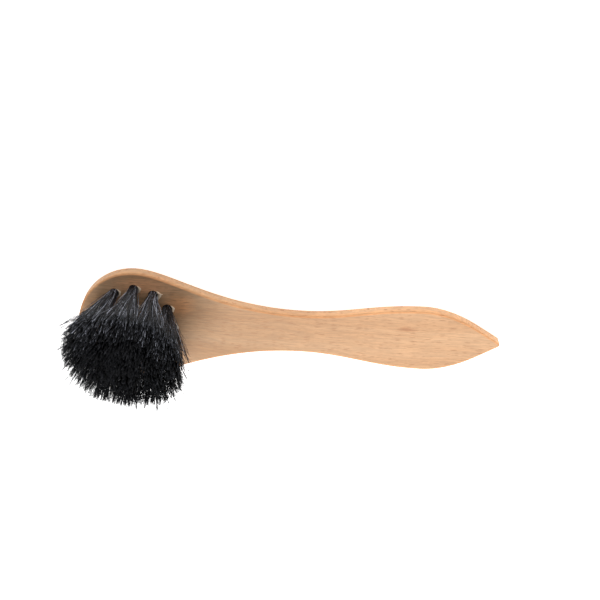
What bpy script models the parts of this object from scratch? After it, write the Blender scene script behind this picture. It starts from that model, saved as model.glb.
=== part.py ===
"""Round-headed hand brush: a flat beech paddle with bristle tufts held by wire anchors.

The brush lies on its flat back. +Z is the side the bristles stand on, +X runs along the handle
towards its tail, and the origin is the middle of the head on the back face. Lengths are in
metres. Each tuft is a bundle folded round a flat wire anchor, and the anchor's ends bite into
the wood on both sides of the drilled hole.
"""

import math
from typing import NamedTuple

import bmesh
import bpy
from mathutils import Matrix, Vector
from mathutils.geometry import interpolate_bezier

MODEL_NAME = "round_head_brush"

# Fit
FIT_GAP = 0.0003
WELD_DISTANCE = 0.00001
FLAT_ANGLE = math.radians(0.1)

# Board: its outline runs from the head's end, over the widest part of the head, the neck and
# the belly of the handle, to the tapered tail.
BOARD_THICKNESS = 0.0062
EDGE_ROUND = 0.0009
EDGE_ROUND_SEGMENTS = 3
HEAD_LENGTH = 0.0227
HEAD_HALF_WIDTH = 0.0231
NECK_X = 0.0695
NECK_HALF_WIDTH = 0.0083
BELLY_X = 0.120
BELLY_HALF_WIDTH = 0.0133
TAPER_START_X = 0.1425
TAPER_ANGLE = math.radians(31.0)
TAIL_END_X = 0.1516
TAIL_ROUND = 0.0011

# Bristle holes: one in the middle and two rings, drilled square to the face in the middle and
# leaning outwards towards the rim.
INNER_RING_RADIUS = 0.008
INNER_RING_COUNT = 6
OUTER_RING_RADIUS = 0.016
OUTER_RING_COUNT = 12
SPLAY_ALONG = math.radians(8.5)
SPLAY_ACROSS = math.radians(0.5)
HOLE_RADIUS = 0.0021
HOLE_DEPTH = 0.0046
HOLE_OVERRUN = 0.0015
HOLE_SIDES = 16

# Tufts
BRISTLE_LENGTH = 0.0325
TIP_RADIUS = 0.0039
TIP_DOME = 0.0012
TUFT_SIDES = 12
FLARE_STEPS = 6
FLARE_LINEAR_SHARE = 0.35
FOLD_THICKNESS = 0.0008
FOLD_ROUND = 0.0006

# Anchors
ANCHOR_THICKNESS = 0.0004
ANCHOR_LENGTH = 0.0050
ANCHOR_HEIGHT = 0.0018

# Finishes: base colour, roughness, metallic
BEECH = ("beech", (0.74, 0.48, 0.29), 0.6, 0.0)
BRISTLE = ("black_bristle", (0.012, 0.012, 0.015), 0.45, 0.0)
ANCHOR_WIRE = ("anchor_wire", (0.56, 0.55, 0.53), 0.35, 1.0)


class OutlineKnot(NamedTuple):
    """A knot on one side of the board: its place, its heading, and the curve before and after it."""

    x: float
    half_width: float
    heading: tuple
    reach_back: float
    reach_ahead: float
    steps_ahead: int


class TuftSite(NamedTuple):
    """A bristle hole: its name and the centre of its mouth on the front face."""

    name: str
    x: float
    y: float


def side_knots():
    """The board's outline on the +Y side, from the head's end to the tail's end."""
    along = (1.0, 0.0)
    taper = (math.cos(TAPER_ANGLE), -math.sin(TAPER_ANGLE))
    nose_x = TAIL_END_X - TAIL_ROUND + TAIL_ROUND * math.sin(TAPER_ANGLE)
    nose_half_width = TAIL_ROUND * math.cos(TAPER_ANGLE)
    taper_half_width = nose_half_width + (nose_x - TAPER_START_X) * math.tan(TAPER_ANGLE)
    quarter_reach = 4 / 3 * math.tan(math.pi / 8)
    nose_reach = TAIL_ROUND * 4 / 3 * math.tan((math.pi / 2 - TAPER_ANGLE) / 4)
    return (
        OutlineKnot(-HEAD_LENGTH, 0.0, (0.0, 1.0), 0.0, HEAD_HALF_WIDTH * quarter_reach, 12),
        OutlineKnot(0.0, HEAD_HALF_WIDTH, along, HEAD_LENGTH * quarter_reach, 0.0145, 14),
        OutlineKnot(NECK_X, NECK_HALF_WIDTH, along, 0.0360, 0.0193, 10),
        OutlineKnot(BELLY_X, BELLY_HALF_WIDTH, along, 0.0213, 0.0100, 8),
        OutlineKnot(TAPER_START_X, taper_half_width, taper, 0.0036, 0.0018, 1),
        OutlineKnot(nose_x, nose_half_width, taper, 0.0018, nose_reach, 4),
        OutlineKnot(TAIL_END_X, 0.0, (0.0, -1.0), nose_reach, 0.0, 0),
    )


def board_outline():
    """The whole outline: one side from head to tail, and its mirror image back again."""
    knots = side_knots()
    side = [Vector((-HEAD_LENGTH, 0.0, 0.0))]
    for knot, following in zip(knots, knots[1:]):
        start = Vector((knot.x, knot.half_width, 0.0))
        end = Vector((following.x, following.half_width, 0.0))
        start_handle = start + Vector((*knot.heading, 0.0)) * knot.reach_ahead
        end_handle = end - Vector((*following.heading, 0.0)) * following.reach_back
        stretch = interpolate_bezier(start, start_handle, end_handle, end, knot.steps_ahead + 1)
        side.extend(stretch[1:])
    return side + [Vector((point.x, -point.y, 0.0)) for point in reversed(side[1:-1])]


def remove_startup_objects():
    """Clear the scene of everything it opened with."""
    for scene_object in list(bpy.data.objects):
        bpy.data.objects.remove(scene_object, do_unlink=True)


def make_collection(name):
    """Make a collection and link it to the scene."""
    collection = bpy.data.collections.new(name)
    bpy.context.scene.collection.children.link(collection)
    return collection


def make_material(finish):
    """Make a Principled material from a (name, colour, roughness, metallic) finish."""
    name, colour, roughness, metallic = finish
    material = bpy.data.materials.new(name)
    material.use_nodes = True
    shader = material.node_tree.nodes["Principled BSDF"]
    shader.inputs["Base Color"].default_value = (*colour, 1.0)
    shader.inputs["Roughness"].default_value = roughness
    shader.inputs["Metallic"].default_value = metallic
    return material


def add_object(name, data, collection, finish=None):
    """Link an object to a collection, with its own material where it has a finish."""
    new_object = bpy.data.objects.new(name, data)
    collection.objects.link(new_object)
    if finish is not None:
        data.materials.append(make_material(finish))
    return new_object


def box_mesh(name, size_x, size_y, size_z):
    """A box centred on its origin."""
    shape = bmesh.new()
    bmesh.ops.create_cube(shape, size=1.0, matrix=Matrix.Diagonal((size_x, size_y, size_z, 1.0)))
    mesh = bpy.data.meshes.new(name)
    shape.to_mesh(mesh)
    shape.free()
    return mesh


def board_mesh():
    """The board's outline, filled and extruded: one flat face each side, the back at z = 0."""
    points = board_outline()
    curve = bpy.data.curves.new("board_outline", "CURVE")
    curve.dimensions = "2D"
    curve.fill_mode = "BOTH"
    curve.extrude = BOARD_THICKNESS / 2
    spline = curve.splines.new("POLY")
    spline.points.add(len(points) - 1)
    spline.use_cyclic_u = True
    for curve_point, point in zip(spline.points, points):
        curve_point.co = (point.x, point.y, 0.0, 1.0)
    outline = bpy.data.objects.new("board_outline", curve)
    bpy.context.scene.collection.objects.link(outline)
    outline.location.z = BOARD_THICKNESS / 2
    bpy.context.view_layer.update()
    evaluated = outline.evaluated_get(bpy.context.evaluated_depsgraph_get())
    mesh = bpy.data.meshes.new_from_object(evaluated)
    mesh.name = "handle"
    mesh.transform(outline.matrix_world)
    bpy.data.objects.remove(outline, do_unlink=True)
    bpy.data.curves.remove(curve)
    shape = bmesh.new()
    shape.from_mesh(mesh)
    bmesh.ops.remove_doubles(shape, verts=shape.verts, dist=WELD_DISTANCE)
    bmesh.ops.dissolve_limit(shape, angle_limit=FLAT_ANGLE, verts=shape.verts, edges=shape.edges)
    bmesh.ops.recalc_face_normals(shape, faces=shape.faces)
    shape.to_mesh(mesh)
    shape.free()
    return mesh


def tuft_sites():
    """Every bristle hole, the first of each ring straight across the board from the middle."""
    sites = [TuftSite("centre", 0.0, 0.0)]
    rings = (
        ("inner", INNER_RING_RADIUS, INNER_RING_COUNT),
        ("outer", OUTER_RING_RADIUS, OUTER_RING_COUNT),
    )
    for ring_name, radius, count in rings:
        for index in range(count):
            angle = math.pi / 2 + math.tau * index / count
            name = f"{ring_name}_{index + 1:02d}"
            sites.append(TuftSite(name, radius * math.cos(angle), radius * math.sin(angle)))
    return sites


def site_placement(site):
    """The turn and place of a hole: local Z out along the tuft, local Y across the board's grain."""
    lean_x = math.sin(SPLAY_ALONG) * site.x / OUTER_RING_RADIUS
    lean_y = math.sin(SPLAY_ACROSS) * site.y / OUTER_RING_RADIUS
    axis = Vector((lean_x, lean_y, math.sqrt(1.0 - lean_x**2 - lean_y**2)))
    side = Vector((0.0, 1.0, 0.0)).cross(axis).normalized()
    across = axis.cross(side)
    turn = Matrix((side, across, axis)).transposed().to_4x4()
    return Matrix.Translation((site.x, site.y, BOARD_THICKNESS)) @ turn


def anchor_centre_z():
    """Height of an anchor's middle in its hole, above the bristles folded under it."""
    return -HOLE_DEPTH + FIT_GAP + FOLD_THICKNESS + FIT_GAP + ANCHOR_HEIGHT / 2


def tuft_profile():
    """The tuft's outer side from the middle of its tip down to the middle of its fold."""
    throat = HOLE_RADIUS - FIT_GAP
    plug_end = -HOLE_DEPTH + FIT_GAP
    profile = [(0.0, BRISTLE_LENGTH), (0.6 * TIP_RADIUS, BRISTLE_LENGTH - 0.3 * TIP_DOME)]
    flare_top = BRISTLE_LENGTH - TIP_DOME
    for step in range(FLARE_STEPS, -1, -1):
        share = step / FLARE_STEPS
        opening = share * (FLARE_LINEAR_SHARE + (1.0 - FLARE_LINEAR_SHARE) * share)
        profile.append((throat + (TIP_RADIUS - throat) * opening, flare_top * share))
    profile.append((throat, plug_end + FOLD_ROUND))
    profile.append((throat - FOLD_ROUND, plug_end))
    profile.append((0.0, plug_end))
    return profile


def turned_mesh(name, profile):
    """An open profile in the XZ plane, as the edges that a Screw modifier turns."""
    mesh = bpy.data.meshes.new(name)
    edges = [(index, index + 1) for index in range(len(profile) - 1)]
    mesh.from_pydata([(radius, 0.0, height) for radius, height in profile], edges, [])
    return mesh


def add_screw(turned_object, sides):
    """Turn a profile once round Z into a closed round body."""
    screw = turned_object.modifiers.new("turn", "SCREW")
    screw.steps = sides
    screw.render_steps = sides
    screw.use_merge_vertices = True
    screw.merge_threshold = WELD_DISTANCE
    screw.use_smooth_shade = True


def add_cut(target, cutter, name):
    """Cut one object out of another."""
    cut = target.modifiers.new(name, "BOOLEAN")
    cut.operation = "DIFFERENCE"
    cut.solver = "EXACT"
    cut.object = cutter


def hide_cutter(cutter):
    """Show a cutter as wire only and keep it out of the finished model."""
    cutter.hide_render = True
    cutter.display_type = "WIRE"


def build_cutters(site, placement, cutters):
    """A hole's drill, and the slot its anchor fills through the tuft and into the wood."""
    drill_mesh = bpy.data.meshes.new(f"drill_{site.name}")
    shape = bmesh.new()
    bmesh.ops.create_cone(
        shape,
        cap_ends=True,
        segments=HOLE_SIDES,
        radius1=HOLE_RADIUS,
        radius2=HOLE_RADIUS,
        depth=HOLE_DEPTH + HOLE_OVERRUN,
        matrix=Matrix.Translation((0.0, 0.0, (HOLE_OVERRUN - HOLE_DEPTH) / 2)),
    )
    shape.to_mesh(drill_mesh)
    shape.free()
    drill = add_object(f"drill_{site.name}", drill_mesh, cutters)
    slot_size = [size + 2 * FIT_GAP for size in (ANCHOR_THICKNESS, ANCHOR_LENGTH, ANCHOR_HEIGHT)]
    slot = add_object(f"slot_{site.name}", box_mesh(f"slot_{site.name}", *slot_size), cutters)
    drill.matrix_world = placement
    slot.matrix_world = placement @ Matrix.Translation((0.0, 0.0, anchor_centre_z()))
    hide_cutter(drill)
    hide_cutter(slot)
    return drill, slot


def build_handle(parts):
    """The one-piece board: head, neck, belly and tail, with its edges rounded over."""
    handle = add_object("handle", board_mesh(), parts, BEECH)
    rounding = handle.modifiers.new("rounded_edges", "BEVEL")
    rounding.width = EDGE_ROUND
    rounding.segments = EDGE_ROUND_SEGMENTS
    rounding.limit_method = "ANGLE"
    rounding.angle_limit = math.radians(50.0)
    rounding.use_clamp_overlap = False
    handle.data.shade_smooth()
    handle.data.set_sharp_from_angle(angle=math.radians(35.0))
    return handle


def build_tuft(site, placement, parts, handle):
    """A tuft: a plug of folded bristles in its hole, flaring to a low domed tip."""
    name = f"tuft_{site.name}"
    tuft = add_object(name, turned_mesh(name, tuft_profile()), parts, BRISTLE)
    tuft.parent = handle
    tuft.matrix_world = placement
    add_screw(tuft, TUFT_SIDES)
    return tuft


def build_anchor(site, placement, parts, handle):
    """A flat wire anchor lying across the hole, over the fold of its tuft."""
    name = f"anchor_{site.name}"
    mesh = box_mesh(name, ANCHOR_THICKNESS, ANCHOR_LENGTH, ANCHOR_HEIGHT)
    anchor = add_object(name, mesh, parts, ANCHOR_WIRE)
    anchor.parent = handle
    anchor.matrix_world = placement @ Matrix.Translation((0.0, 0.0, anchor_centre_z()))
    return anchor


def main():
    """Build the board, drill it, and set every tuft with its anchor."""
    remove_startup_objects()
    parts = make_collection(MODEL_NAME)
    cutters = make_collection(f"{MODEL_NAME}_cutters")
    handle = build_handle(parts)
    for site in tuft_sites():
        placement = site_placement(site)
        drill, slot = build_cutters(site, placement, cutters)
        tuft = build_tuft(site, placement, parts, handle)
        build_anchor(site, placement, parts, handle)
        add_cut(handle, drill, drill.name)
        add_cut(handle, slot, slot.name)
        add_cut(tuft, slot, slot.name)
    bpy.context.view_layer.update()


main()
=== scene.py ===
"""Builds a round-headed hand brush: a flat beech board with nineteen tufts of black hair.

Everything is in metres in the object's own frame. +X runs along the handle, the board's
flat back lies on Z = 0, and the hair stands up along +Z.
"""

import logging
import math
import random
from dataclasses import dataclass, field
from enum import Enum

import bmesh
import bpy
from mathutils import Matrix, Vector
from mathutils.geometry import interpolate_bezier


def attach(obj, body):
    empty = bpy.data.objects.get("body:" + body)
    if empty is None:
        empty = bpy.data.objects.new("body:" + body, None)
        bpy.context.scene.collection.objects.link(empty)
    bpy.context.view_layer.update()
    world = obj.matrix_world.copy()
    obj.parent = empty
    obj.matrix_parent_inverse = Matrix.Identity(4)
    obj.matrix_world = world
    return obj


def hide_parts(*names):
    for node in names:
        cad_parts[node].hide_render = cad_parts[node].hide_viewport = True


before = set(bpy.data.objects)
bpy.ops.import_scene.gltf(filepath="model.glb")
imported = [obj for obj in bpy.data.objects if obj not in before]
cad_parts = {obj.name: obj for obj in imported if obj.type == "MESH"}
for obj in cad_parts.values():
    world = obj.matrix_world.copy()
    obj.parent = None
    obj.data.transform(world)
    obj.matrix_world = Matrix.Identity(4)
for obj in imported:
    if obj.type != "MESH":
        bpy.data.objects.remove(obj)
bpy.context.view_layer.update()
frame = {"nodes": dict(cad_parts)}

LOG = logging.getLogger("round_head_brush")
BODY = "root"
MM = 0.001
WELD_DISTANCE = 1e-7
STRAND_SIDES = 4
WHITE = (1.0, 1.0, 1.0, 1.0)
FLOAT = "NodeSocketFloat"
VECTOR = "NodeSocketVector"
Colour = tuple[float, float, float, float]
Triple = tuple[float, float, float]


class Slot(Enum):
    """The record's material slots."""

    BEECH = "beech"
    BRISTLE = "black_bristle"
    WIRE = "anchor_wire"


# ---------------------------------------------------------------- shader helpers


class Shading:
    """A node tree being filled in, with short calls for the nodes that are used most."""

    def __init__(self, tree: bpy.types.NodeTree) -> None:
        """Keeps the tree that the nodes are added to."""
        self.tree = tree

    def node(self, kind: str, **settings: object) -> bpy.types.Node:
        """Adds a node.

        Args:
            kind: The node's type name in Blender.
            settings: Properties to set on it.

        Returns:
            The new node.
        """
        made = self.tree.nodes.new(kind)
        for name, value in settings.items():
            setattr(made, name, value)
        return made

    def feed(self, target: bpy.types.NodeSocket, source: object) -> None:
        """Links a socket to the target, or sets the target to a plain value.

        Args:
            target: The input that is fed.
            source: An output socket, a number or a tuple of numbers.
        """
        if isinstance(source, bpy.types.NodeSocket):
            self.tree.links.new(source, target)
        else:
            target.default_value = source

    def maths(self, operation: str, first: object, second: object = 0.0) -> bpy.types.NodeSocket:
        """Adds a Math node.

        Args:
            operation: The sum that it does.
            first: The first socket or number.
            second: The second socket or number.

        Returns:
            Its result.
        """
        made = self.node("ShaderNodeMath", operation=operation)
        self.feed(made.inputs[0], first)
        self.feed(made.inputs[1], second)
        return made.outputs[0]

    def ramp(self, value: object, low: float, high: float,
             to_low: float = 0.0, to_high: float = 1.0) -> bpy.types.NodeSocket:
        """Moves a value smoothly from one range to another.

        Args:
            value: The socket to change.
            low: Where the change begins.
            high: Where it ends.
            to_low: The result up to low.
            to_high: The result from high on.

        Returns:
            The changed value.
        """
        made = self.node("ShaderNodeMapRange", interpolation_type="SMOOTHSTEP")
        for socket, number in zip(made.inputs[1:5], (low, high, to_low, to_high)):
            socket.default_value = number
        self.feed(made.inputs[0], value)
        return made.outputs[0]

    def mix(self, amount: object, first: object, second: object,
            blend: str = "MIX") -> bpy.types.NodeSocket:
        """Mixes two colours.

        Args:
            amount: How much of the second is used.
            first: A colour or a socket.
            second: A colour or a socket.
            blend: How the second is laid on the first.

        Returns:
            The mixed colour.
        """
        made = self.node("ShaderNodeMix", data_type="RGBA", blend_type=blend)
        self.feed(made.inputs[0], amount)
        self.feed(made.inputs[6], first)
        self.feed(made.inputs[7], second)
        return made.outputs[2]

    def bump(self, height: object, strength: float, distance: float) -> bpy.types.NodeSocket:
        """Adds a Bump node.

        Args:
            height: The socket that it takes its relief from.
            strength: How much of the relief shows.
            distance: The relief's depth in metres.

        Returns:
            Its normal.
        """
        made = self.node("ShaderNodeBump")
        made.inputs["Strength"].default_value = strength
        made.inputs["Distance"].default_value = distance
        self.feed(made.inputs["Height"], height)
        return made.outputs[0]

    def parts(self, vector: object) -> bpy.types.Node:
        """Adds a Separate XYZ node for a vector, and returns the node."""
        made = self.node("ShaderNodeSeparateXYZ")
        self.feed(made.inputs[0], vector)
        return made

    def length(self, vector: object) -> bpy.types.NodeSocket:
        """Adds a Length node for a vector, and returns its value."""
        made = self.node("ShaderNodeVectorMath", operation="LENGTH")
        self.feed(made.inputs[0], vector)
        return made.outputs["Value"]

    def stretched(self, place: object, scale: Triple) -> bpy.types.NodeSocket:
        """Scales a place, one number for each axis, and returns the result."""
        made = self.node("ShaderNodeVectorMath", operation="MULTIPLY")
        self.feed(made.inputs[0], place)
        made.inputs[1].default_value = scale
        return made.outputs[0]

    def cloud(self, place: object, detail: float = 3.0, roughness: float = 0.55) -> bpy.types.NodeSocket:
        """Adds Noise at a scale of one.

        Args:
            place: The place it is read at.
            detail: How many finer layers it has.
            roughness: How strong they are.

        Returns:
            Its value, from 0 to 1.
        """
        made = self.node("ShaderNodeTexNoise")
        made.inputs["Scale"].default_value = 1.0
        made.inputs["Detail"].default_value = detail
        made.inputs["Roughness"].default_value = roughness
        self.feed(made.inputs["Vector"], place)
        return made.outputs["Fac"]

    def cells(self, place: object) -> bpy.types.Node:
        """Adds Voronoi cells at a scale of one, and returns the node."""
        made = self.node("ShaderNodeTexVoronoi")
        made.inputs["Scale"].default_value = 1.0
        self.feed(made.inputs["Vector"], place)
        return made


class Group:
    """A shader node group with named inputs and outputs, built once and used often."""

    def __init__(self, name: str, inputs: dict[str, tuple[str, object]],
                 outputs: dict[str, str]) -> None:
        """Makes the group and its sockets.

        Args:
            name: The group's name.
            inputs: Each input's socket type and value.
            outputs: Each output's socket type.
        """
        self.tree = bpy.data.node_groups.new(name, "ShaderNodeTree")
        for label, (kind, value) in inputs.items():
            socket = self.tree.interface.new_socket(label, in_out="INPUT", socket_type=kind)
            socket.default_value = value
        for label, kind in outputs.items():
            self.tree.interface.new_socket(label, in_out="OUTPUT", socket_type=kind)
        self.shading = Shading(self.tree)
        self.given = self.shading.node("NodeGroupInput").outputs
        self.result = self.shading.node("NodeGroupOutput").inputs

    def used_in(self, shading: Shading, **values: object) -> bpy.types.Node:
        """Places the group in a material.

        Args:
            shading: The material's nodes.
            values: What feeds its inputs, by name, with _ for a space.

        Returns:
            The placed node.
        """
        placed = shading.node("ShaderNodeGroup", node_tree=self.tree)
        for name, value in values.items():
            shading.feed(placed.inputs[name.replace("_", " ")], value)
        return placed


def object_place(shading: Shading) -> bpy.types.NodeSocket:
    """Returns the Object coordinates."""
    return shading.node("ShaderNodeTexCoord").outputs["Object"]


def build_grain_group() -> Group:
    """Makes the grain of beech, shared by the board and by its torn fibres.

    Returns:
        The group, whose place is in metres with the grain along X.
    """
    group = Group(
        "beech_grain",
        {"Place": (VECTOR, (0.0, 0.0, 0.0)), "Flecks": (FLOAT, 1.0)},
        {"Band": FLOAT, "Fibre": FLOAT, "Fleck": FLOAT, "Pore": FLOAT},
    )
    s = group.shading
    place = group.given["Place"]
    wander = s.node("ShaderNodeTexNoise")
    wander.inputs["Scale"].default_value = 1.0
    wander.inputs["Detail"].default_value = 1.5
    s.feed(wander.inputs["Vector"], s.stretched(place, (28.0, 60.0, 60.0)))
    drift = s.node("ShaderNodeVectorMath", operation="MULTIPLY_ADD")
    s.feed(drift.inputs[0], wander.outputs["Color"])
    drift.inputs[1].default_value = (0.0, 0.0042, 0.0042)
    s.feed(drift.inputs[2], place)
    flowing = drift.outputs[0]
    band = s.cloud(s.stretched(flowing, (5.0, 150.0, 95.0)), detail=2.0, roughness=0.5)
    s.feed(group.result["Band"], s.ramp(band, 0.30, 0.70))
    coarse = s.cloud(s.stretched(flowing, (110.0, 1500.0, 620.0)), detail=3.0, roughness=0.6)
    fine = s.cloud(s.stretched(flowing, (160.0, 3600.0, 2600.0)), detail=2.0, roughness=0.6)
    fibre = s.maths("ADD", s.maths("MULTIPLY", coarse, 0.6), s.maths("MULTIPLY", fine, 0.4))
    s.feed(group.result["Fibre"], s.ramp(fibre, 0.33, 0.67))
    fleck: object = 0.0
    for scale, width in (((180.0, 1650.0, 260.0), 0.34), ((290.0, 2500.0, 380.0), 0.35)):
        cell = s.cells(s.stretched(flowing, scale))
        dash = s.ramp(cell.outputs["Distance"], width * 0.45, width, 1.0, 0.0)
        shade = s.node("ShaderNodeSeparateColor")
        s.feed(shade.inputs[0], cell.outputs["Color"])
        dash = s.maths("MULTIPLY", dash, s.ramp(shade.outputs[0], 0.25, 0.95, 0.15, 1.0))
        fleck = s.maths("MAXIMUM", fleck, dash)
    s.feed(group.result["Fleck"], s.maths("MULTIPLY", fleck, group.given["Flecks"]))
    pore = s.cells(s.stretched(flowing, (900.0, 5200.0, 5200.0)))
    s.feed(group.result["Pore"], s.ramp(pore.outputs["Distance"], 0.10, 0.34, 1.0, 0.0))
    return group


@dataclass(frozen=True)
class Patch:
    """A soft spot of the wood with a tint, and an edge from even (0) to ragged (1). A knot's tint is the
    wood's own colour; the other spots are painted light and shade.
    """

    middle: Triple
    reach: Triple
    tint: Colour
    ragged: float

    def mask(self, s: Shading, place: bpy.types.NodeSocket) -> bpy.types.NodeSocket:
        """Returns where the spot is.

        Args:
            s: The material's nodes.
            place: The Object coordinates.

        Returns:
            The mask, from 0 to 1.
        """
        away = s.node("ShaderNodeVectorMath", operation="SUBTRACT")
        s.feed(away.inputs[0], place)
        away.inputs[1].default_value = self.middle
        spread = s.stretched(away.outputs[0], tuple(1.0 / value for value in self.reach))
        uneven = s.cloud(s.stretched(place, (500.0, 1500.0, 900.0)), detail=3.0)
        edge = s.maths("ADD", s.length(spread), s.maths("MULTIPLY", uneven, self.ragged))
        return s.ramp(edge, 0.7 * self.ragged, 0.6 + self.ragged, 1.0, 0.0)


@dataclass(frozen=True)
class BeechFinish:
    """Bare sanded beech: matt, with short brown flecks and a fine straight grain.

    The patches are a pin knot on the handle, which is the wood's own colour, then painted light and shadow
    round the tufts: two warm lighter spots and a dim darker one. The board also carries painted shade that
    darkens it towards the head, and painted light on its walls and rounded edges.
    """

    pale: Colour = (0.710, 0.440, 0.252, 1.0)
    warm: Colour = (0.630, 0.362, 0.194, 1.0)
    fleck: Colour = (0.400, 0.195, 0.098, 1.0)
    # Painted light on the edges: the walls are lightened, the band next to the face is more orange, partly
    # the wood's warmer tone and partly painted shading of the rounded edge, and the rounded edges get a
    # painted highlight.
    wall: Colour = (1.08, 1.04, 0.98, 1.0)
    rim: Colour = (1.14, 1.00, 0.82, 1.0)
    rim_height: float = 3.6 * MM
    rim_blend: float = 1.6 * MM
    arris_highlight: Colour = (1.30, 1.11, 0.94, 1.0)
    # Painted shade: the board is darkened towards the head, round the tufts, and lightens along the handle.
    head_shade: float = 0.72
    shade_start: float = 12.0 * MM
    shade_end: float = 124.0 * MM
    fleck_strength: float = 0.80
    pore_strength: float = 0.16
    torn: Colour = (0.95, 0.80, 0.62, 1.0)
    roughness: float = 0.62
    specular: float = 0.35
    relief: tuple[float, float] = (0.35, 0.06 * MM)
    patches: tuple[Patch, ...] = (
        # A pin knot on the handle: the wood's own colour.
        Patch((0.1125, 0.0050, 0.0062), (0.0046, 0.0016, 0.0030), (0.80, 0.70, 0.66, 1.0), 1.0),
        # Painted light: two lighter, warmer spots that lift the shadow of the hair on the wood round the
        # tufts.
        Patch((0.0040, 0.0175, 0.0062), (0.0200, 0.0065, 0.0100), (1.44, 1.22, 1.13, 1.0), 0.5),
        Patch((0.0190, 0.0105, 0.0062), (0.0100, 0.0080, 0.0100), (1.48, 1.24, 1.06, 1.0), 0.5),
        # Painted shadow: a darker spot beside the tufts, towards the tail and -Y.
        Patch((0.0180, -0.0070, 0.0062), (0.0120, 0.0110, 0.0100), (0.74, 0.74, 0.74, 1.0), 0.5),
    )

    def material(self, name: str, grain: Group, paleness: float = 0.0) -> bpy.types.Material:
        """Makes the material.

        Args:
            name: The material's name.
            grain: The shared grain group.
            paleness: How far the colour goes to that of fresh torn wood.

        Returns:
            The material.
        """
        made = bpy.data.materials.new(name)
        made.use_nodes = True
        s = Shading(made.node_tree)
        shader = made.node_tree.nodes["Principled BSDF"]
        place = object_place(s)
        wood = grain.used_in(s, Place=place, Flecks=self.fleck_strength)
        colour = s.mix(wood.outputs["Band"], self.pale, self.warm)
        fibre = s.ramp(wood.outputs["Fibre"], 0.0, 1.0, 0.86, 1.08)
        # Painted shade: the grain's tone is darkened towards the head.
        fibre = s.maths("MULTIPLY", fibre, self.painted_length_shade(s, place))
        grey = s.node("ShaderNodeCombineColor")
        for socket in grey.inputs[:3]:
            s.feed(socket, fibre)
        colour = s.mix(1.0, colour, grey.outputs[0], "MULTIPLY")
        # The knot tints the wood's own colour; the spots round the tufts paint light and shadow on it.
        for patch in self.patches:
            colour = s.mix(1.0, colour, s.mix(patch.mask(s, place), WHITE, patch.tint), "MULTIPLY")
        colour = s.mix(wood.outputs["Fleck"], colour, self.fleck)
        pores = s.maths("MULTIPLY", wood.outputs["Pore"], self.pore_strength)
        colour = s.mix(pores, colour, self.fleck)
        colour = self.edge_tint(s, place, colour)
        if paleness:
            colour = s.mix(paleness, colour, self.torn)
        s.feed(shader.inputs["Base Color"], colour)
        rough = s.ramp(wood.outputs["Fibre"], 0.0, 1.0, self.roughness - 0.05, self.roughness + 0.08)
        s.feed(shader.inputs["Roughness"], rough)
        shader.inputs["Specular IOR Level"].default_value = self.specular
        pits = s.maths("MULTIPLY", wood.outputs["Pore"], 1.6)
        relief = s.maths("SUBTRACT", wood.outputs["Fibre"], pits)
        s.feed(shader.inputs["Normal"], s.bump(relief, *self.relief))
        return made

    def edge_tint(self, s: Shading, place: object, colour: object) -> bpy.types.NodeSocket:
        """Tints the board's walls and the turn from its faces into them, as painted light: the walls are
        lightened, their upper part next to the face gets a more orange band that is partly the wood's
        warmer tone and partly painted shading of the rounded edge, and the rounded edges get a painted
        highlight.

        Args:
            s: The material's nodes.
            place: The Object coordinates.
            colour: The wood's colour.

        Returns:
            The tinted colour.
        """
        normal = s.parts(s.node("ShaderNodeTexCoord").outputs["Normal"])
        flatness = s.maths("ABSOLUTE", normal.outputs["Z"])
        height = s.parts(place).outputs["Z"]
        wall = s.ramp(flatness, 0.45, 0.97, 1.0, 0.0)
        upper = s.ramp(height, self.rim_height, self.rim_height + self.rim_blend)
        walled = s.mix(1.0, colour, s.mix(upper, self.wall, self.rim), "MULTIPLY")
        colour = s.mix(wall, colour, walled)
        # Painted highlight on the rounded edges.
        turned = s.ramp(flatness, 0.975, 0.998, 1.0, 0.0)
        arris_highlight = s.maths("MULTIPLY", s.ramp(flatness, 0.50, 0.80), turned)
        return s.mix(arris_highlight, colour, s.mix(1.0, colour, self.arris_highlight, "MULTIPLY"))

    def painted_length_shade(self, s: Shading, place: bpy.types.NodeSocket) -> bpy.types.NodeSocket:
        """Returns the painted shade along the board: darkest at the head round the tufts, and lighter along
        the handle.
        """
        return s.ramp(s.length(place), self.shade_start, self.shade_end, self.head_shade, 1.0)


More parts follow.
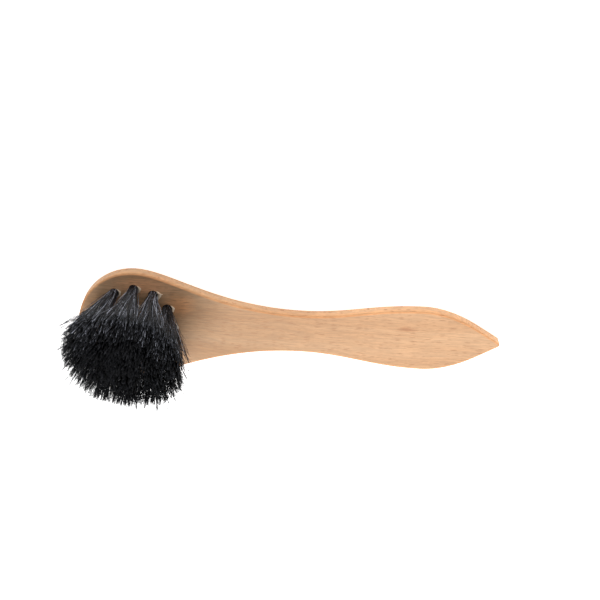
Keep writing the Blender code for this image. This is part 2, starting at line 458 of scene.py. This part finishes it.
@dataclass(frozen=True)
class BristleFinish:
    """Black horsehair: nearly black strands with a cool painted sheen: every shaft has a faint paler
    mottle, and the outermost strands of the tufts on the lit side are greyer along their shafts.
    """

    dark: Colour = (0.0030, 0.0032, 0.0042, 1.0)
    # Painted sheen: the pale colour that the strands take where they catch the light.
    light: Colour = (0.680, 0.710, 0.820, 1.0)
    roughness: float = 0.26
    dull: float = 0.25
    refraction: float = 1.40
    relief: tuple[float, float] = (0.25, 0.02 * MM)

    def material(self, name: str) -> bpy.types.Material:
        """Makes the material.

        Args:
            name: The material's name.

        Returns:
            The material.
        """
        made = bpy.data.materials.new(name)
        made.use_nodes = True
        s = Shading(made.node_tree)
        shader = made.node_tree.nodes["Principled BSDF"]
        tone = s.node("ShaderNodeAttribute", attribute_name=HairTuft.TONE).outputs["Fac"]
        along = s.node("ShaderNodeAttribute", attribute_name=HairTuft.ALONG).outputs["Fac"]
        # The painted sheen lies on the shafts only: it starts a little above the root and is gone before
        # the tips, which stay black.
        shaft = s.maths("MULTIPLY", s.ramp(along, 0.63, 0.74), s.ramp(along, 0.82, 0.95, 1.0, 0.0))
        scales = s.cloud(s.stretched(object_place(s), (900.0, 900.0, 1600.0)), detail=2.0)
        # Painted sheen: each strand's grey tone, plus a faint mottle along every shaft.
        grey_and_sheen = s.ramp(tone, 0.15, 0.82, 0.0, 1.0)
        shade = s.maths("ADD", grey_and_sheen, s.ramp(scales, 0.35, 0.75, 0.0, 0.15))
        shade = s.maths("MULTIPLY", shade, shaft)
        s.feed(shader.inputs["Base Color"], s.mix(shade, self.dark, self.light))
        shader.inputs["IOR"].default_value = self.refraction
        rough = s.ramp(shaft, 0.0, 1.0, self.roughness + self.dull, self.roughness)
        s.feed(shader.inputs["Roughness"], rough)
        s.feed(shader.inputs["Normal"], s.bump(scales, *self.relief))
        return made


@dataclass(frozen=True)
class WireFinish:
    """Drawn steel wire, galvanised, a little dull."""

    bright: Colour = (0.62, 0.62, 0.60, 1.0)
    dull: Colour = (0.36, 0.36, 0.35, 1.0)
    relief: tuple[float, float] = (0.3, 0.02 * MM)

    def material(self, name: str) -> bpy.types.Material:
        """Makes the material.

        Args:
            name: The material's name.

        Returns:
            The material.
        """
        made = bpy.data.materials.new(name)
        made.use_nodes = True
        s = Shading(made.node_tree)
        shader = made.node_tree.nodes["Principled BSDF"]
        drawn = s.cloud(s.stretched(object_place(s), (9000.0, 700.0, 9000.0)), detail=3.0)
        blotch = s.cloud(s.stretched(object_place(s), (1800.0, 1800.0, 1800.0)), detail=2.0)
        s.feed(shader.inputs["Base Color"], s.mix(s.ramp(blotch, 0.35, 0.65), self.bright, self.dull))
        s.feed(shader.inputs["Roughness"], s.ramp(drawn, 0.3, 0.7, 0.28, 0.48))
        shader.inputs["Metallic"].default_value = 1.0
        s.feed(shader.inputs["Normal"], s.bump(drawn, *self.relief))
        return made


# ---------------------------------------------------------------- shared pieces


def finished_piece(name: str, mesh: bpy.types.Mesh, nodes: list[str]) -> bpy.types.Object:
    """Puts a mesh in the scene as a piece that rides on the brush.

    Args:
        name: The piece's name.
        mesh: Its mesh, already in place.
        nodes: The CAD nodes that it stands for.

    Returns:
        The piece.
    """
    mesh.name = name
    piece = bpy.data.objects.new(name, mesh)
    bpy.context.scene.collection.objects.link(piece)
    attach(piece, BODY)
    if nodes:
        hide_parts(*nodes)
    return piece


@dataclass(frozen=True)
class Hole:
    """One drilled hole: its name, the middle of its mouth, and the frame that its tuft stands in."""

    name: str
    mouth: Vector
    frame: Matrix

    @property
    def tuft_node(self) -> str:
        """The CAD node of the tuft in this hole."""
        return f"tuft_{self.name}"


@dataclass(frozen=True)
class HolePattern:
    """The nineteen holes: one in the middle, a ring of six and a ring of twelve."""

    thickness: float
    inner_radius: float = 8.0 * MM
    outer_radius: float = 16.0 * MM
    inner_count: int = 6
    outer_count: int = 12
    splay_along: float = math.radians(8.5)
    splay_across: float = math.radians(0.5)

    def holes(self) -> list[Hole]:
        """Returns every hole, the middle one first."""
        sites = [("centre", 0.0, 0.0)]
        rings = (
            ("inner", self.inner_radius, self.inner_count),
            ("outer", self.outer_radius, self.outer_count),
        )
        for ring, radius, count in rings:
            for index in range(count):
                angle = math.pi / 2 + math.tau * index / count
                name = f"{ring}_{index + 1:02d}"
                sites.append((name, radius * math.cos(angle), radius * math.sin(angle)))
        return [self.hole(*site) for site in sites]

    def hole(self, name: str, x: float, y: float) -> Hole:
        """Works out one hole.

        Args:
            name: The hole's name.
            x: The middle of its mouth along the handle.
            y: The middle of its mouth across it.

        Returns:
            The hole, drilled at the angle that splays its tuft outwards.
        """
        lean_x = math.sin(self.splay_along) * x / self.outer_radius
        lean_y = math.sin(self.splay_across) * y / self.outer_radius
        axis = Vector((lean_x, lean_y, math.sqrt(1.0 - lean_x**2 - lean_y**2)))
        side = Vector((0.0, 1.0, 0.0)).cross(axis).normalized()
        turn = Matrix((side, axis.cross(side), axis)).transposed().to_4x4()
        mouth = Vector((x, y, self.thickness))
        return Hole(name, mouth, Matrix.Translation(mouth) @ turn)


# ---------------------------------------------------------------- board


@dataclass(frozen=True)
class OutlineKnot:
    """A point on the board's outline, with the outline's heading there and its handles' reach."""

    x: float
    half_width: float
    heading: tuple[float, float]
    reach_back: float
    reach_ahead: float
    steps_ahead: int


@dataclass
class Board:
    """The one-piece beech handle and head, rounded at its edges and drilled for the tufts."""

    thickness: float = 6.2 * MM
    edge_round: float = 0.9 * MM
    edge_segments: int = 6
    head_length: float = 22.7 * MM
    head_half_width: float = 23.1 * MM
    head_reach: float = 14.5 * MM
    neck: tuple[float, float] = (69.5 * MM, 8.3 * MM)
    neck_reach: tuple[float, float] = (36.0 * MM, 19.3 * MM)
    belly: tuple[float, float] = (120.0 * MM, 13.3 * MM)
    belly_reach: tuple[float, float] = (21.3 * MM, 10.0 * MM)
    taper_start: float = 142.5 * MM
    taper_angle: float = math.radians(31.0)
    taper_reach: tuple[float, float] = (3.6 * MM, 1.8 * MM)
    tail_end: float = 151.6 * MM
    tail_round: float = 1.1 * MM
    hole_radius: float = 2.1 * MM
    hole_depth: float = 4.6 * MM
    hole_overrun: float = 1.5 * MM
    hole_sides: int = 40
    sharp_angle: float = math.radians(50.0)
    finish: BeechFinish = field(default_factory=BeechFinish)

    def knots(self) -> list[OutlineKnot]:
        """Returns the outline on the +Y side, from the head's end to the tail's end."""
        along = (1.0, 0.0)
        taper = (math.cos(self.taper_angle), -math.sin(self.taper_angle))
        nose_x = self.tail_end - self.tail_round + self.tail_round * math.sin(self.taper_angle)
        nose_half = self.tail_round * math.cos(self.taper_angle)
        taper_half = nose_half + (nose_x - self.taper_start) * math.tan(self.taper_angle)
        quarter = 4 / 3 * math.tan(math.pi / 8)
        nose_reach = self.tail_round * 4 / 3 * math.tan((math.pi / 2 - self.taper_angle) / 4)
        half = self.head_half_width
        return [
            OutlineKnot(-self.head_length, 0.0, (0.0, 1.0), 0.0, half * quarter, 32),
            OutlineKnot(0.0, half, along, self.head_length * quarter, self.head_reach, 30),
            OutlineKnot(*self.neck, along, *self.neck_reach, 24),
            OutlineKnot(*self.belly, along, *self.belly_reach, 18),
            OutlineKnot(self.taper_start, taper_half, taper, *self.taper_reach, 3),
            OutlineKnot(nose_x, nose_half, taper, self.taper_reach[1], nose_reach, 8),
            OutlineKnot(self.tail_end, 0.0, (0.0, -1.0), nose_reach, 0.0, 0),
        ]

    def outline(self) -> list[Vector]:
        """Returns the whole outline: one side from head to tail, and its mirror image back."""
        knots = self.knots()
        side = [Vector((-self.head_length, 0.0, 0.0))]
        for knot, following in zip(knots, knots[1:]):
            start = Vector((knot.x, knot.half_width, 0.0))
            end = Vector((following.x, following.half_width, 0.0))
            start_handle = start + Vector((*knot.heading, 0.0)) * knot.reach_ahead
            end_handle = end - Vector((*following.heading, 0.0)) * following.reach_back
            side.extend(interpolate_bezier(start, start_handle, end_handle, end, knot.steps_ahead + 1)[1:])
        return side + [Vector((point.x, -point.y, 0.0)) for point in reversed(side[1:-1])]

    def blank(self) -> bmesh.types.BMesh:
        """Returns the board before drilling: its outline drawn up to its thickness, edges rounded."""
        made = bmesh.new()
        rim = [made.verts.new(point) for point in self.outline()]
        base = made.faces.new(rim)
        drawn = bmesh.ops.extrude_face_region(made, geom=[base])
        lifted = [item for item in drawn["geom"] if isinstance(item, bmesh.types.BMVert)]
        bmesh.ops.translate(made, vec=(0.0, 0.0, self.thickness), verts=lifted)
        bmesh.ops.recalc_face_normals(made, faces=made.faces)
        caps = {face for face in made.faces if abs(face.normal.z) > 0.9}
        rims = [edge for edge in made.edges if any(face in caps for face in edge.link_faces)]
        bmesh.ops.bevel(made, geom=rims, offset=self.edge_round, offset_type="OFFSET", affect="EDGES",
                        segments=self.edge_segments, profile=0.5, material=-1, clamp_overlap=False)
        return made

    def drill(self, holes: list[Hole]) -> bpy.types.Object:
        """Makes the shape that is cut away: one straight flat-ended drill for each hole.

        Args:
            holes: The holes to drill.

        Returns:
            A helper object that is removed once the board is cut.
        """
        cutter = bmesh.new()
        length = self.hole_depth + self.hole_overrun
        middle = (self.hole_overrun - self.hole_depth) / 2
        for hole in holes:
            bmesh.ops.create_cone(cutter, cap_ends=True, segments=self.hole_sides, radius1=self.hole_radius,
                                  radius2=self.hole_radius, depth=length,
                                  matrix=hole.frame @ Matrix.Translation((0.0, 0.0, middle)))
        mesh = bpy.data.meshes.new("drill")
        cutter.to_mesh(mesh)
        cutter.free()
        helper = bpy.data.objects.new("drill", mesh)
        bpy.context.scene.collection.objects.link(helper)
        return helper

    def build(self, holes: list[Hole]) -> bpy.types.Object:
        """Makes the drilled board.

        Args:
            holes: The holes to drill.

        Returns:
            The board, which stands for the CAD handle.
        """
        blank = self.blank()
        mesh = bpy.data.meshes.new("blank")
        blank.to_mesh(mesh)
        blank.free()
        raw = bpy.data.objects.new("blank", mesh)
        bpy.context.scene.collection.objects.link(raw)
        helper = self.drill(holes)
        cut = raw.modifiers.new("drill", "BOOLEAN")
        cut.operation = "DIFFERENCE"
        cut.solver = "EXACT"
        cut.object = helper
        bpy.context.view_layer.update()
        evaluated = raw.evaluated_get(bpy.context.evaluated_depsgraph_get())
        drilled = bpy.data.meshes.new_from_object(evaluated)
        bpy.data.objects.remove(raw)
        bpy.data.objects.remove(helper)
        drilled.shade_smooth()
        drilled.set_sharp_from_angle(angle=self.sharp_angle)
        board = finished_piece("beech_board", drilled, ["handle"])
        smoothing = board.modifiers.new("flat_faces", "WEIGHTED_NORMAL")
        smoothing.keep_sharp = True
        return board

    def dress(self, board: bpy.types.Object, grain: Group) -> None:
        """Gives the board its beech."""
        board.data.materials.clear()
        board.data.materials.append(self.finish.material("sanded_beech", grain))


@dataclass
class TornFibres:
    """The fibres that the drill lifted at each hole's mouth, on the side that the grain runs to."""

    hole_radius: float = 2.1 * MM
    rise: float = 0.26 * MM
    thickness: float = 0.10 * MM
    steps: int = 10
    seed: int = 11
    finish: BeechFinish = field(default_factory=BeechFinish)
    widths: dict[str, float] = field(default_factory=lambda: {
        "outer_01": 0.95 * MM, "outer_12": 1.25 * MM, "outer_11": 0.95 * MM})
    splinters: dict[str, float] = field(default_factory=lambda: {"outer_12": 2.1 * MM})
    usual_width: float = 0.65 * MM
    usual_range: tuple[float, float] = (0.6, 1.2)
    half_angles: tuple[float, float] = (0.85, 1.05)
    gap: float = 0.02 * MM
    raggedness: float = 0.16 * MM
    splinter_radii: tuple[float, float] = (0.75 * MM, 0.03 * MM)
    splinter_flat: float = 0.32
    splinter_lift: float = 0.12 * MM
    splinter_tilt: float = -0.06
    splinter_turn: float = 0.35

    def lip(self, made: bmesh.types.BMesh, hole: Hole, width: float, half_angle: float) -> None:
        """Adds one crescent of lifted fibres round a hole's mouth.

        Args:
            made: The mesh that it is added to.
            hole: The hole.
            width: The crescent's width at its middle.
            half_angle: How far it reaches round the mouth each way.
        """
        grid = bmesh.ops.create_grid(made, x_segments=2, y_segments=self.steps, size=1.0)["verts"]
        for vert in grid:
            angle = half_angle * vert.co.y
            share = (vert.co.x + 1.0) / 2
            swell = math.cos(vert.co.y * math.pi / 2)
            radius = self.hole_radius + self.gap + max(swell, 0.04) * width * share
            ragged = self.raggedness * math.sin(vert.co.y * 9.0 + hole.mouth.x * 900.0) * share
            lift = self.rise * (1.0 - share) ** 1.4 * max(swell, 0.15)
            vert.co = Vector((radius * math.cos(angle) + ragged, radius * math.sin(angle), lift))
            vert.co += hole.mouth
        faces = list({face for vert in grid for face in vert.link_faces})
        bmesh.ops.solidify(made, geom=faces, thickness=self.thickness)

    def splinter(self, made: bmesh.types.BMesh, hole: Hole, length: float) -> None:
        """Adds one sharp splinter that points along the grain.

        Args:
            made: The mesh that it is added to.
            hole: The hole whose mouth it is torn from.
            length: Its length.
        """
        along = Matrix.Rotation(math.pi / 2, 4, "Y")
        flat = Matrix.Diagonal((1.0, 1.0, self.splinter_flat, 1.0))
        toward = Vector((math.cos(self.splinter_turn), math.sin(self.splinter_turn), 0.0))
        spot = hole.mouth + toward * self.hole_radius
        place = Matrix.Translation(spot + Vector((length / 2, 0.0, self.splinter_lift)))
        tilt = Matrix.Rotation(self.splinter_tilt, 4, "Y")
        base, point = self.splinter_radii
        bmesh.ops.create_cone(made, cap_ends=True, segments=8, radius1=base, radius2=point,
                              depth=length, matrix=place @ tilt @ flat @ along)

    def build(self, holes: list[Hole]) -> bpy.types.Object:
        """Makes the lifted fibres at every hole.

        Args:
            holes: The drilled holes.

        Returns:
            The piece.
        """
        draw = random.Random(self.seed)
        made = bmesh.new()
        for hole in holes:
            width = self.widths.get(hole.name, self.usual_width * draw.uniform(*self.usual_range))
            self.lip(made, hole, width, draw.uniform(*self.half_angles))
            if hole.name in self.splinters:
                self.splinter(made, hole, self.splinters[hole.name])
        bmesh.ops.recalc_face_normals(made, faces=made.faces)
        mesh = bpy.data.meshes.new("torn_fibres")
        made.to_mesh(mesh)
        made.free()
        mesh.shade_smooth()
        return finished_piece("torn_fibres", mesh, [])

    def dress(self, piece: bpy.types.Object, grain: Group) -> None:
        """Gives the fibres the colour of fresh torn beech."""
        piece.data.materials.append(self.finish.material("torn_beech", grain, paleness=0.85))


# ---------------------------------------------------------------- hair


@dataclass(frozen=True)
class Clump:
    """Strands that stick together: where their ends meet, how far they reach past the cut, and
    whether they stand out from the rest.
    """

    tip: Vector
    reach: float
    wild: bool


# How far the tufts at some holes lean, along the handle and across it, where use has bent them.
LEANS = {
    "outer_01": (-1.2 * MM, 0.0),
    "outer_02": (-3.6 * MM, 0.6 * MM),
    "outer_03": (-1.5 * MM, 0.8 * MM),
    "outer_04": (-0.8 * MM, 0.8 * MM),
    "outer_05": (1.2 * MM, 1.8 * MM),
    "outer_06": (1.2 * MM, 0.6 * MM),
    "outer_07": (1.4 * MM, -1.0 * MM),
    "outer_08": (2.4 * MM, -1.6 * MM),
    "outer_09": (1.6 * MM, -2.2 * MM),
}
# Painted sheen: how pale the palest strands of a tuft are, on the side of the head where the hair catches
# the light.
SHEENS = {
    "outer_01": 1.0,
    "outer_02": 1.0,
    "outer_12": 1.0,
    "outer_11": 0.9,
    "inner_01": 0.7,
    "outer_03": 0.6,
}
PLAIN_SHEEN = 0.34
FIRST_SEED = 100


@dataclass
class HairTuft:
    """One tuft: strands folded in two under a wire anchor, fanned out and trimmed at their ends."""

    TONE = "strand_tone"
    ALONG = "strand_along"

    hole: Hole
    seed: int
    strands: int = 290
    length: float = 31.6 * MM
    bundle_radius: float = 1.88 * MM
    fan: tuple[float, float] = (7.6 * MM, 6.6 * MM)
    mass: tuple[float, float] = (25.4 * MM, 20.6 * MM)
    mass_squareness: float = 2.9
    mass_limit: float = 0.86
    mass_give: float = 0.40
    mass_lean: tuple[float, float] = (-0.3 * MM, -1.8 * MM)
    mass_skew: float = 0.17
    wild_share: float = 0.07
    wild_push: float = 0.13
    lean: tuple[float, float] = (0.0, 0.0)
    sheen: float = PLAIN_SHEEN
    root_thickness: float = 0.086 * MM
    tip_thickness: float = 0.055 * MM
    even_share: float = 0.2
    thickness_range: tuple[float, float] = (0.75, 1.30)
    clumps: int = 100
    clump_choices: int = 2
    loose_share: float = 0.25
    clump_spread: float = 0.32 * MM
    clump_jitter: float = 0.12
    loose_reach: float = 1.15
    straightness: float = 0.90
    bow: float = 0.85 * MM
    end_spread: float = 0.55 * MM
    dome: float = 1.6 * MM
    clump_reach: float = 0.55 * MM
    leg_steps: int = 8
    fold_depth: float = 3.75 * MM
    elbow_depth: float = 2.9 * MM
    shoulder_depth: float = 1.4 * MM
    elbow_share: float = 0.85
    wire_half: float = 0.30 * MM
    # Painted sheen: where in the mass, going outwards, the hairs begin and end taking it on.
    sheen_from: float = 0.62
    sheen_to: float = 0.90
    stray_share: float = 0.05
    stray_spread: float = 4.2 * MM

    def disc(self, draw: random.Random) -> Vector:
        """Returns a random point in a disc of radius 1."""
        radius = math.sqrt(draw.random())
        angle = draw.random() * math.tau
        return Vector((radius * math.cos(angle), radius * math.sin(angle), 0.0))

    def make_clumps(self, draw: random.Random) -> list[Clump]:
        """Returns the tuft's clumps, spread evenly over its fan on a loose sunflower spiral."""
        golden = math.pi * (3.0 - math.sqrt(5.0))
        first = draw.random() * math.tau
        made = []
        for index in range(self.clumps):
            radius = math.sqrt((index + 0.5) / self.clumps)
            angle = first + golden * index
            tip = Vector((radius * math.cos(angle), radius * math.sin(angle), 0.0))
            tip += self.disc(draw) * self.clump_jitter
            wild = draw.random() < self.wild_share
            made.append(Clump(self.fanned(tip), draw.gauss(0.0, self.clump_reach), wild))
        return made

    def fanned(self, spot: Vector) -> Vector:
        """Returns the place on the tuft's fan of a point on a disc of radius 1."""
        return Vector((spot.x * self.fan[0], spot.y * self.fan[1], 0.0))

    def gathered(self, tip: Vector, wild: bool) -> Vector:
        """Leans a hair's end, and draws it in where it would stand clear of the brush's mass of hair.

        Args:
            tip: The end in the hole's frame, less its height.
            wild: True for a lock that stands out instead.

        Returns:
            The end after its neighbours have held it back, with how far out it is as its Z.
        """
        turn = self.hole.frame.to_3x3()
        leant = tip + Vector((self.lean[0], self.lean[1], self.length))
        spot = self.hole.mouth + turn @ leant
        power = self.mass_squareness
        across = spot.x + self.mass_skew * spot.y
        sides = abs(across / self.mass[0]) ** power + abs(spot.y / self.mass[1]) ** power
        away = sides ** (1.0 / power)
        pull = 0.0
        if away > self.mass_limit:
            pull = (away - self.mass_limit) * (1.0 - self.mass_give) / away
            pull -= self.wild_push if wild else 0.0
        lean_x, lean_y = self.mass_lean
        shift = Vector((lean_x - across * pull, lean_y - spot.y * pull, 0.0))
        moved = leant + turn.transposed() @ shift
        return Vector((moved.x, moved.y, away))

    def leg(self, draw: random.Random, root: Vector, clumps: list[Clump]) -> tuple[list[Vector], float]:
        """Works out one hair from the hole's mouth to its tip.

        Args:
            draw: The tuft's random numbers.
            root: Where it leaves the hole, on a disc of radius 1.
            clumps: The tuft's clumps.

        Returns:
            Its points in the hole's frame, the root first, and how far out in the mass it stands.
        """
        likely = draw.sample(clumps, self.clump_choices)
        clump = min(likely, key=lambda each: (each.tip - self.fanned(root)).length_squared)
        free = clump.tip + self.disc(draw) * self.clump_spread
        if draw.random() < self.loose_share:
            free = self.fanned(self.disc(draw) * self.loose_reach)
        tip = self.gathered(free, clump.wild)
        start = root * self.bundle_radius
        outside = tip.z
        reach = self.length - self.dome * outside * outside + clump.reach
        reach += draw.gauss(0.0, self.end_spread)
        tip.z = 0.0
        if draw.random() < self.stray_share:
            tip += self.disc(draw) * self.stray_spread
        bow = self.disc(draw) * self.bow
        points = []
        for step in range(self.leg_steps):
            share = step / (self.leg_steps - 1)
            spread = share * (self.straightness + (1.0 - self.straightness) * share)
            point = start.lerp(tip, spread) + bow * math.sin(math.pi * share)
            point.z = share * reach
            points.append(point)
        return points, outside

    def strand(self, draw: random.Random, clumps: list[Clump]) -> tuple[list[Vector], list[float]]:
        """Works out one strand: a hair, its fold under the anchor, and the hair it comes up as.

        Args:
            draw: The tuft's random numbers.
            clumps: The tuft's clumps.

        Returns:
            Its points in the hole's frame, from tip to tip, and how much painted sheen it has at each.
        """
        first = self.disc(draw)
        first.x = max(abs(first.x), self.wire_half / self.bundle_radius)
        second = Vector((-first.x, first.y, 0.0))
        down, down_outside = self.leg(draw, first, clumps)
        up, up_outside = self.leg(draw, second, clumps)
        y = first.y * self.bundle_radius
        x = first.x * self.bundle_radius
        elbow = max(x * self.elbow_share, self.wire_half)
        fold = [
            Vector((x, y, -self.shoulder_depth)),
            Vector((elbow, y, -self.elbow_depth)),
            Vector((0.0, y, -self.fold_depth)),
            Vector((-elbow, y, -self.elbow_depth)),
            Vector((-x, y, -self.shoulder_depth)),
        ]
        # Painted sheen: a random grey tone, scaled by the tuft's sheen and kept for the outermost hairs
        # only; the fold has none.
        tone = draw.random() * self.sheen
        painted_sheen = [tone * self.outer_sheen(down_outside)] * len(down) + [0.0] * len(fold)
        painted_sheen += [tone * self.outer_sheen(up_outside)] * len(up)
        return list(reversed(down)) + fold + up, painted_sheen

    def outer_sheen(self, outside: float) -> float:
        """Returns how much painted sheen a hair has, from its place in the mass: only the outermost hairs
        have it.
        """
        share = min(max((outside - self.sheen_from) / (self.sheen_to - self.sheen_from), 0.0), 1.0)
        return share * share * (3.0 - 2.0 * share)

    def thickness_at(self, index: int, count: int) -> float:
        """Returns a strand's radius at a point, thickest at the fold and thin at both tips."""
        middle = (count - 1) / 2
        share = abs(index - middle) / middle
        taper = max(share - self.even_share, 0.0) / (1.0 - self.even_share)
        return self.root_thickness + (self.tip_thickness - self.root_thickness) * taper

    def build(self) -> bpy.types.Object:
        """Makes the tuft.

        Returns:
            The piece, which stands for the CAD tuft.
        """
        draw = random.Random(self.seed)
        clumps = self.make_clumps(draw)
        curve = bpy.data.curves.new("strands", "CURVE")
        curve.dimensions = "3D"
        curve.bevel_depth = 1.0
        curve.bevel_resolution = 0
        curve.use_fill_caps = True
        count = 0
        tones = []
        for _ in range(self.strands):
            local, painted_sheen = self.strand(draw, clumps)
            points = [self.hole.frame @ point for point in local]
            count = len(points)
            tones.extend(self.per_vertex(painted_sheen))
            spline = curve.splines.new("POLY")
            spline.points.add(count - 1)
            coarseness = draw.uniform(*self.thickness_range)
            for index, point in enumerate(points):
                spline.points[index].co = (*point, 1.0)
                spline.points[index].radius = self.thickness_at(index, count) * coarseness
        helper = bpy.data.objects.new("strands", curve)
        mesh = bpy.data.meshes.new_from_object(helper)
        bpy.data.objects.remove(helper)
        shaft = self.per_vertex([max(index, count - 1 - index) / (count - 1) for index in range(count)])
        for name, values in ((self.TONE, tones), (self.ALONG, shaft * self.strands)):
            mesh.attributes.new(name, "FLOAT", "POINT").data.foreach_set("value", values)
        self.close(mesh)
        mesh.shade_smooth()
        return finished_piece(f"hair_{self.hole.name}", mesh, [self.hole.tuft_node])

    def per_vertex(self, values: list[float]) -> list[float]:
        """Repeats one strand's values for the vertices round it, then for its two end caps."""
        ends = [values[0]] * STRAND_SIDES + [values[-1]] * STRAND_SIDES
        return [value for value in values for _ in range(STRAND_SIDES)] + ends

    def close(self, mesh: bpy.types.Mesh) -> None:
        """Joins the end caps to the strands and turns every face outwards."""
        made = bmesh.new()
        made.from_mesh(mesh)
        bmesh.ops.remove_doubles(made, verts=made.verts, dist=WELD_DISTANCE)
        bmesh.ops.recalc_face_normals(made, faces=made.faces)
        made.to_mesh(mesh)
        made.free()

    def dress(self, piece: bpy.types.Object, material: bpy.types.Material) -> None:
        """Gives the tuft its horsehair."""
        piece.data.materials.append(material)


@dataclass
class Anchors:
    """The flat wire anchors that hold the folded strands down in their holes, kept from the CAD."""

    finish: WireFinish = field(default_factory=WireFinish)

    def dress(self, nodes: dict[str, bpy.types.Object]) -> list[str]:
        """Gives each anchor its steel.

        Args:
            nodes: The CAD nodes by name.

        Returns:
            The names of the anchors.
        """
        steel = self.finish.material("galvanised_wire")
        names = sorted(name for name in nodes if name.startswith("anchor_"))
        for name in names:
            slots = nodes[name].data.materials
            slots.clear()
            slots.append(steel)
        return names


# ---------------------------------------------------------------- studio


@dataclass(frozen=True)
class SoftLight:
    """One large soft light."""

    name: str
    place: Triple
    size: float
    power: float


@dataclass
class Studio:
    """A plain pale floor, soft light, and the camera that looks down on the brush."""

    tilt: float = math.radians(25.0)
    roll: float = math.radians(3.3)
    distance: float = 0.54
    field_width: float = 0.2449
    sensor: float = 36.0
    aim: Triple = (0.0681, 0.0156, 0.0062)
    floor_size: float = 6.0
    floor_drop: float = 0.2 * MM
    floor_glow: float = 0.70
    floor_tones: tuple[Colour, Colour] = ((0.93, 0.93, 0.93, 1.0), (0.95, 0.95, 0.95, 1.0))
    sky: float = 0.46
    near_clip: float = 0.01
    lights: tuple[SoftLight, ...] = (
        SoftLight("key", (-0.14, -0.55, 0.74), 0.60, 9.9),
        SoftLight("side", (0.16, 0.74, 0.20), 0.40, 1.55),
    )

    def build_floor(self) -> bpy.types.Object:
        """Makes the floor, which isn't part of the brush, and returns it."""
        made = bmesh.new()
        bmesh.ops.create_grid(made, x_segments=1, y_segments=1, size=self.floor_size / 2,
                              matrix=Matrix.Translation((0.0, 0.0, -self.floor_drop)))
        mesh = bpy.data.meshes.new("floor")
        made.to_mesh(mesh)
        made.free()
        floor = bpy.data.objects.new("floor", mesh)
        bpy.context.scene.collection.objects.link(floor)
        paper = bpy.data.materials.new("pale_paper")
        paper.use_nodes = True
        s = Shading(paper.node_tree)
        shader = paper.node_tree.nodes["Principled BSDF"]
        tooth = s.cloud(s.stretched(object_place(s), (900.0, 900.0, 900.0)), detail=2.0)
        s.feed(shader.inputs["Base Color"], s.mix(tooth, *self.floor_tones))
        shader.inputs["Roughness"].default_value = 0.9
        shader.inputs["Specular IOR Level"].default_value = 0.1
        shader.inputs["Emission Color"].default_value = WHITE
        shader.inputs["Emission Strength"].default_value = self.floor_glow
        mesh.materials.append(paper)
        return floor

    def build_lights(self) -> None:
        """Makes the soft lights and the even white surroundings."""
        for light in self.lights:
            lamp = bpy.data.lights.new(light.name, "AREA")
            lamp.size = light.size
            lamp.energy = light.power
            holder = bpy.data.objects.new(light.name, lamp)
            holder.location = light.place
            toward = Vector(self.aim) - Vector(light.place)
            holder.rotation_euler = toward.to_track_quat("-Z", "Y").to_euler()
            bpy.context.scene.collection.objects.link(holder)
        world = bpy.data.worlds.new("studio")
        world.use_nodes = True
        sky = world.node_tree.nodes["Background"]
        sky.inputs["Color"].default_value = WHITE
        sky.inputs["Strength"].default_value = self.sky
        bpy.context.scene.world = world
        bpy.context.scene.view_settings.view_transform = "Standard"

    def build_camera(self) -> bpy.types.Object:
        """Makes the camera, which looks down on the front from a little to its +Y side, and returns it."""
        back = Vector((0.0, math.sin(self.tilt), math.cos(self.tilt)))
        right = Vector((1.0, 0.0, 0.0))
        up = back.cross(right)
        rolled_right = right * math.cos(self.roll) + up * math.sin(self.roll)
        rolled_up = up * math.cos(self.roll) - right * math.sin(self.roll)
        lens = bpy.data.cameras.new("camera")
        lens.sensor_width = self.sensor
        lens.lens = self.sensor * self.distance / self.field_width
        lens.clip_start = self.near_clip
        camera = bpy.data.objects.new("camera", lens)
        bpy.context.scene.collection.objects.link(camera)
        pose = Matrix((rolled_right, rolled_up, back)).transposed().to_4x4()
        pose.translation = Vector(self.aim) + back * self.distance
        camera.matrix_world = pose
        bpy.context.scene.camera = camera
        return camera


def main() -> None:
    """Builds the brush, dresses it and sets it in its studio."""
    logging.basicConfig(level=logging.INFO, format="%(name)s: %(message)s")
    grain = build_grain_group()
    board = Board()
    holes = HolePattern(board.thickness).holes()
    piece = board.build(holes)
    board.dress(piece, grain)
    LOG.info("%s with %d holes, %d faces", piece.name, len(holes), len(piece.data.polygons))
    fibres = TornFibres()
    piece = fibres.build(holes)
    fibres.dress(piece, grain)
    LOG.info("%s, %d faces", piece.name, len(piece.data.polygons))
    horsehair = BristleFinish().material("black_horsehair")
    for index, hole in enumerate(holes):
        lean = LEANS.get(hole.name, (0.0, 0.0))
        sheen = SHEENS.get(hole.name, PLAIN_SHEEN)
        tuft = HairTuft(hole, seed=FIRST_SEED + index, lean=lean, sheen=sheen)
        piece = tuft.build()
        tuft.dress(piece, horsehair)
        LOG.info("%s, %d faces", piece.name, len(piece.data.polygons))
    for name in Anchors().dress(frame["nodes"]):
        LOG.info("%s kept from the frame", name)
    studio = Studio()
    studio.build_floor()
    studio.build_lights()
    studio.build_camera()


if __name__ == "__main__":
    main()
